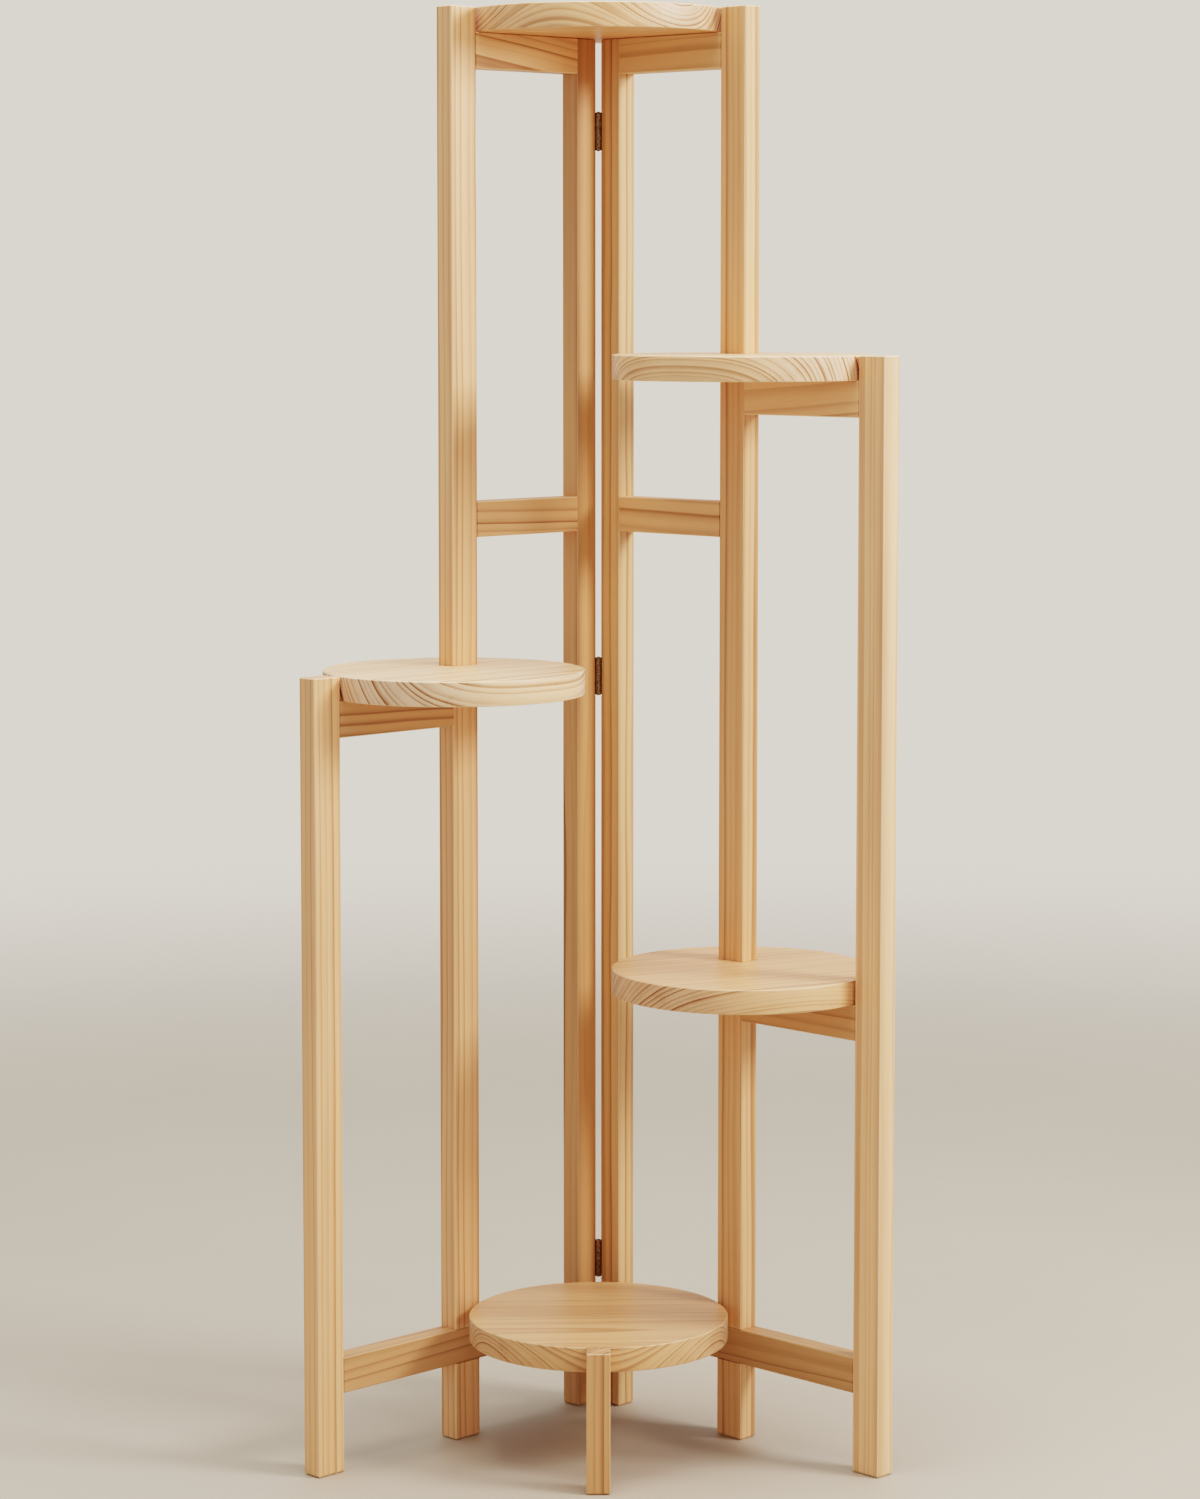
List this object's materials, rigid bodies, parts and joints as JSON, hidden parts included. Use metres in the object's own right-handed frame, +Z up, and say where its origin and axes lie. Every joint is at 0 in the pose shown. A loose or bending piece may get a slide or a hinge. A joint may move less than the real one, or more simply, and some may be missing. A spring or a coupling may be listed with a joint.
{
  "type": "corner plant stand",
  "caption": "Corner plant stand: two hinged pine ladder wings opened at a right angle, with round shelves stepped at different heights and a short front leg.",
  "frame": {"origin": "on the floor, under the middle of the stand's bounding box", "axes": "+Z up, -Y towards the front leg, +X towards the wing with two shelves; the hinge pins lie over +Y"},
  "size_m": [0.5214, 0.352, 1.3],
  "materials": {
    "post_pine": "satin",
    "rail_pine": "satin",
    "shelf_pine": "satin",
    "dowels": "matte",
    "hinge_metal": "antique, satin",
    "screws": "satin"
  },
  "bodies": {
    "left_wing": {"left_back_post": "post_pine", "left_middle_post": "post_pine", "left_outer_post": "post_pine", "left_top_rail": "rail_pine", "left_middle_rail": "rail_pine", "left_shelf_rail": "rail_pine", "left_bottom_rail": "rail_pine", "left_shelf": "shelf_pine", "left_shelf_screws": "screws", "upper_hinge_left_leaf": "hinge_metal", "middle_hinge_left_leaf": "hinge_metal", "lower_hinge_left_leaf": "hinge_metal", "upper_hinge_pin": "hinge_metal", "middle_hinge_pin": "hinge_metal", "lower_hinge_pin": "hinge_metal", "left_hinge_screws": "screws"},
    "right_wing": {"right_back_post": "post_pine", "right_middle_post": "post_pine", "right_outer_post": "post_pine", "right_top_rail": "rail_pine", "right_middle_rail": "rail_pine", "right_upper_shelf_rail": "rail_pine", "right_lower_shelf_rail": "rail_pine", "right_bottom_rail": "rail_pine", "right_upper_shelf": "shelf_pine", "right_lower_shelf": "shelf_pine", "right_shelf_screws": "screws", "upper_hinge_right_leaf": "hinge_metal", "middle_hinge_right_leaf": "hinge_metal", "lower_hinge_right_leaf": "hinge_metal", "right_hinge_screws": "screws"},
    "top_shelf_board": {"top_shelf": "shelf_pine"},
    "bottom_shelf_board": {"bottom_shelf": "shelf_pine", "front_leg": "post_pine", "front_leg_dowels": "dowels"}
  },
  "joints": [
    {"name": "wing_fold", "type": "hinge", "parent": "left_wing", "child": "right_wing", "pos_m": [0, 0.11702, 0.67467], "axis": [0, 0, 1], "range_deg": [0, 90]},
    {"name": "top_shelf_lift", "type": "slide", "parent": "left_wing", "child": "top_shelf_board", "axis": [0, 0, 1], "range_m": [0, 0.15]},
    {"name": "bottom_shelf_lift", "type": "slide", "parent": "left_wing", "child": "bottom_shelf_board", "axis": [0, 0, 1], "range_m": [0, 0.12]}
  ]
}
